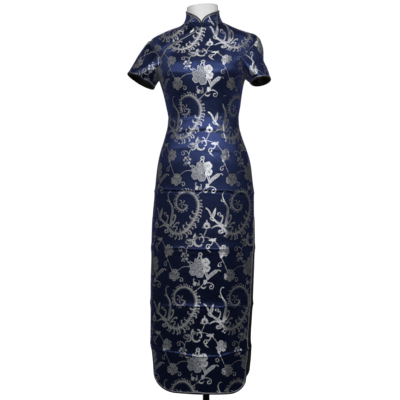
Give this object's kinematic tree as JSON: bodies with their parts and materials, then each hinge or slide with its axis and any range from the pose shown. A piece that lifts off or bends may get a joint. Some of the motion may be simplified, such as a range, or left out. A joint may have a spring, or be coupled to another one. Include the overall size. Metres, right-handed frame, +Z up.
{
  "type": "cheongsam dress on a limbless dress form",
  "caption": "Long navy satin brocade cheongsam with cap sleeves, stand collar, side-fastening opening and two side slits, worn by a limbless dress form on a pole and a round base.",
  "frame": {"origin": "centre of the stand base's underside", "axes": "+Z up along the pole, the dress faces -Y, +X is the wearer's left"},
  "size_m": [0.5015, 0.2806, 1.4124],
  "materials": {
    "brocade_silk": "satin",
    "black_binding": "satin",
    "form_cover": "matte",
    "black_stand": "satin"
  },
  "bodies": {
    "root": {"front_panel": "brocade_silk", "front_underlap": "brocade_silk", "back_panel": "brocade_silk", "collar": "brocade_silk", "sleeve_left": "brocade_silk", "sleeve_right": "brocade_silk", "collar_binding": "black_binding", "opening_binding": "black_binding", "cuff_binding_left": "black_binding", "cuff_binding_right": "black_binding", "front_hem_binding": "black_binding", "back_hem_binding": "black_binding", "form_torso": "form_cover", "stand_pole": "black_stand", "stand_base": "black_stand", "stand_hub": "black_stand"}
  },
  "joints": []
}
